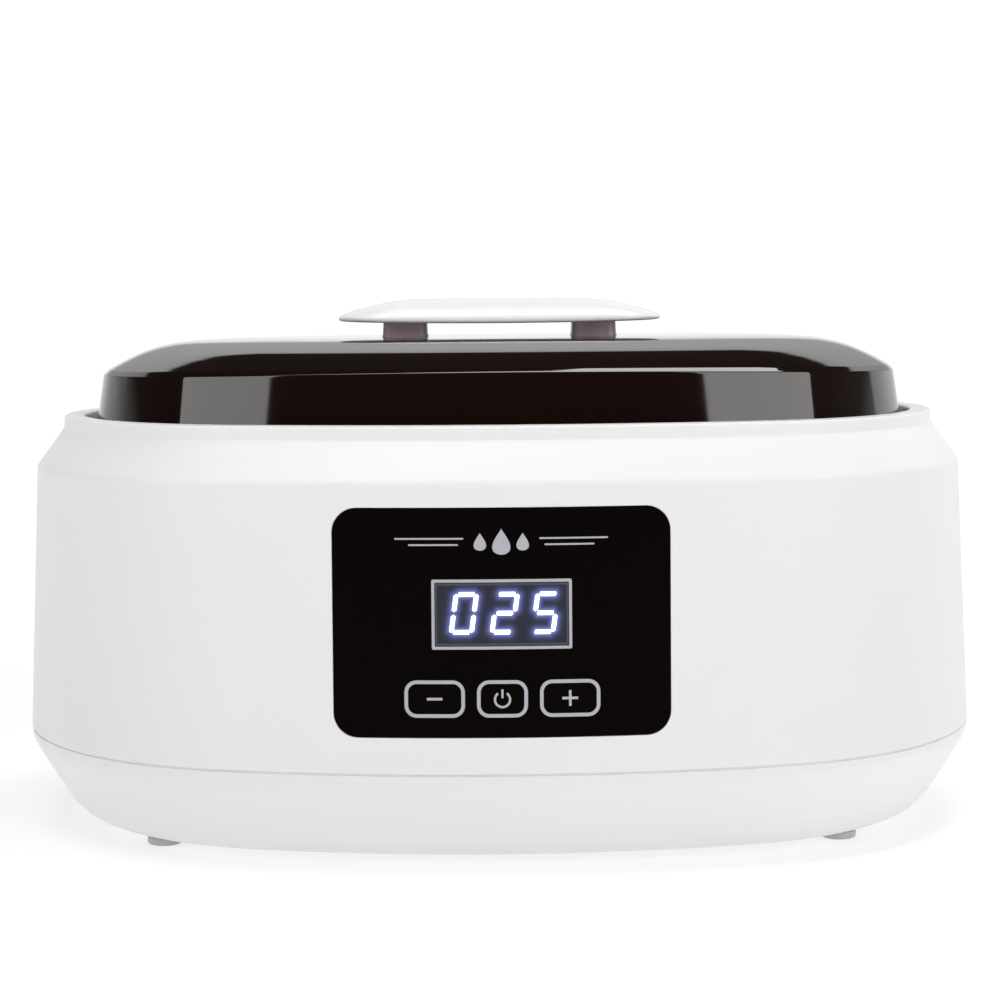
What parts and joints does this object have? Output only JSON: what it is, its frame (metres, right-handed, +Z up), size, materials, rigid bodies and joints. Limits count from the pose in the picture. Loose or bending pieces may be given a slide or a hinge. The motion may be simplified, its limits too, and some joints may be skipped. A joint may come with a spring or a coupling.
{
  "type": "paraffin wax bath",
  "caption": "Oval tabletop paraffin wax bath: white two-part casing, heated tub, lift-off smoked lid with a bar handle, digital panel with press keys in front.",
  "frame": {"origin": "middle of the footprint, at the level of the rubber feet", "axes": "+Z up, front (control panel) faces -Y, +X to the right of a person facing the front"},
  "size_m": [0.31, 0.206, 0.1687],
  "materials": {
    "casing_white": "satin moulded ABS",
    "rubber_grey": "matt",
    "zinc_steel": "zinc plated",
    "tub_aluminium": "deep drawn, satin",
    "silicone": "matt",
    "mica": "mica sheet",
    "galvanised_sheet": "galvanised",
    "bakelite": "moulded",
    "nickel_brass": "nickel plated",
    "fuse_sleeve": "glass-fibre sleeve",
    "felt": "needled glass felt",
    "board_green": "solder mask",
    "relay_blue": "moulded",
    "ferrite": "ferrite core, taped winding",
    "capacitor_yellow": "boxed film capacitor",
    "can_black": "sleeved can",
    "terminal_green": "moulded",
    "plug_white": "moulded",
    "fuse_glass": "clear tube",
    "inlet_black": "moulded, fine grain",
    "wire_black": "PVC insulation",
    "wire_green": "PVC insulation",
    "wire_white": "silicone insulation",
    "ribbon_grey": "PVC ribbon",
    "panel_black": "gloss overlay, back printed",
    "window_smoke": "tinted clear",
    "led_face": "dark face with white segments",
    "switch_black": "moulded",
    "key_black": "gloss, printed outline",
    "lid_smoke": "smoked transparent, polished",
    "handle_white": "polished",
    "grille_white": "moulded polypropylene"
  },
  "bodies": {
    "casing": {"base_casing": "casing_white", "base_screws": "zinc_steel", "board_fuse": "fuse_glass", "board_screws": "zinc_steel", "bracket_screws": "zinc_steel", "control_panel": "panel_black", "cutout_wires": "wire_white", "display_board": "board_green", "display_board_screws": "zinc_steel", "display_cable": "ribbon_grey", "display_window": "window_smoke", "earth_wire": "wire_green", "filter_capacitor": "capacitor_yellow", "fuse_clips": "nickel_brass", "heat_shield": "galvanised_sheet", "heater_element": "mica", "heater_nuts": "zinc_steel", "heater_press_plate": "galvanised_sheet", "heater_terminals": "terminal_green", "heater_wires": "wire_white", "inlet_pins": "nickel_brass", "inlet_screws": "zinc_steel", "insulation_wrap": "felt", "key_switches": "switch_black", "led_display": "led_face", "mains_inlet": "inlet_black", "mains_wires": "wire_black", "outer_casing": "casing_white", "power_board": "board_green", "probe_clip": "zinc_steel", "probe_wire": "wire_black", "relay": "relay_blue", "ribbon_plug": "plug_white", "ribbon_socket": "plug_white", "rubber_feet": "rubber_grey", "safety_thermostat": "bakelite", "sensor_plug": "plug_white", "shield_screws": "zinc_steel", "smoothing_capacitors": "can_black", "temperature_probe": "nickel_brass", "terminal_block": "terminal_green", "thermal_fuse": "fuse_sleeve", "thermostat_nuts": "zinc_steel", "transformer": "ferrite", "tub_brackets": "zinc_steel", "tub_gasket": "silicone", "tub_studs": "zinc_steel", "wax_tub": "tub_aluminium"},
    "lid": {"lid_shell": "lid_smoke", "lid_handle": "handle_white", "lid_screws": "zinc_steel"},
    "grille": {"floor_grille": "grille_white"},
    "low_button": {"low_key": "key_black", "low_switch_plunger": "switch_black"},
    "power_button": {"power_key": "key_black", "power_switch_plunger": "switch_black"},
    "high_button": {"high_key": "key_black", "high_switch_plunger": "switch_black"}
  },
  "joints": [
    {"name": "lid_lift", "type": "slide", "parent": "casing", "child": "lid", "axis": [0, 0, 1], "range_m": [0, 0.12]},
    {"name": "grille_lift", "type": "slide", "parent": "casing", "child": "grille", "axis": [0, 0, 1], "range_m": [0, 0.07]},
    {"name": "low_press", "type": "slide", "parent": "casing", "child": "low_button", "axis": [0, 1, 0], "range_m": [0, 0.0003], "stiffness_N_per_m": 2000, "springref_m": -0.0004},
    {"name": "power_press", "type": "slide", "parent": "casing", "child": "power_button", "axis": [0, 1, 0], "range_m": [0, 0.0003], "stiffness_N_per_m": 2000, "springref_m": -0.0004},
    {"name": "high_press", "type": "slide", "parent": "casing", "child": "high_button", "axis": [0, 1, 0], "range_m": [0, 0.0003], "stiffness_N_per_m": 2000, "springref_m": -0.0004}
  ]
}
